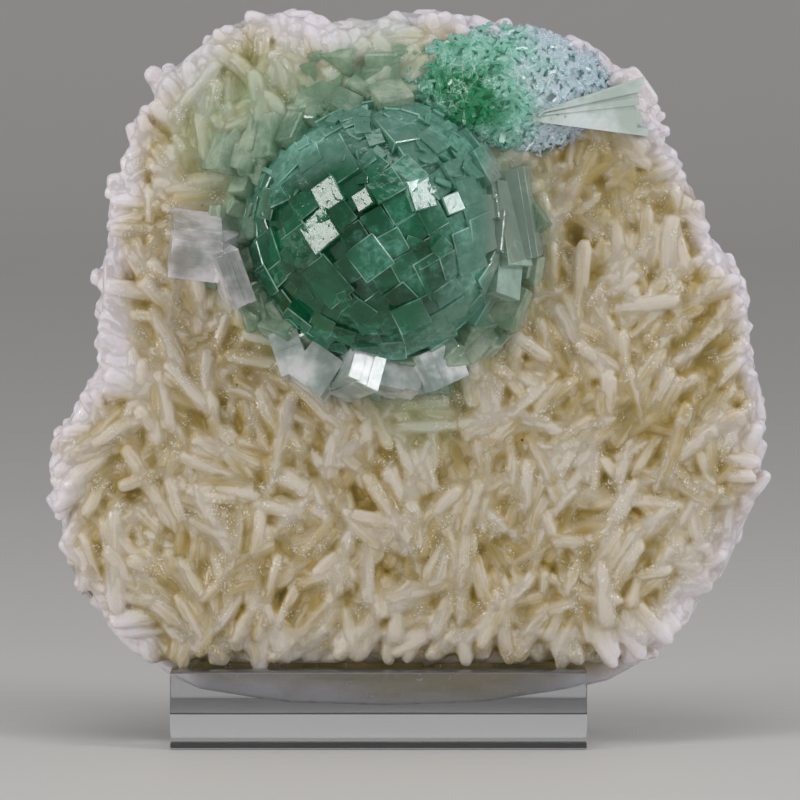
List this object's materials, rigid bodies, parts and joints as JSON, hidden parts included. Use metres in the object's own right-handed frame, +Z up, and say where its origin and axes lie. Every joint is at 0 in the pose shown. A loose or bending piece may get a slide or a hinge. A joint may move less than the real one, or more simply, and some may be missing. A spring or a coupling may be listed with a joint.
{
  "type": "green apophyllite and stilbite mineral specimen on a slotted clear block",
  "caption": "Display specimen: green faceted crystal ball on an upright plate of cream bladed crystals, standing in a slotted clear plastic block.",
  "frame": {"origin": "middle of the clear block's underside", "axes": "+Z up, -Y towards the viewer who looks at the specimen's face, +X to that viewer's right"},
  "size_m": [0.1315, 0.0536, 0.1347],
  "materials": {
    "clear_acrylic": "clear, polished",
    "stilbite": "waxy, slightly translucent cream",
    "green_apophyllite": "glassy faces over a cloudy deep green inside",
    "mint_apophyllite": "broken, glassy mint green",
    "pale_crystal": "satin, striated, pale blue-green",
    "clear_apophyllite_left": "clear, striated",
    "clear_apophyllite_lower": "clear to cloudy"
  },
  "bodies": {
    "root": {"acrylic_stand": "clear_acrylic", "stilbite_matrix": "stilbite", "apophyllite_ball": "green_apophyllite", "apophyllite_crust": "mint_apophyllite", "pale_fan_crystal": "pale_crystal", "clear_crystals_left": "clear_apophyllite_left", "clear_crystals_lower": "clear_apophyllite_lower"}
  },
  "joints": []
}
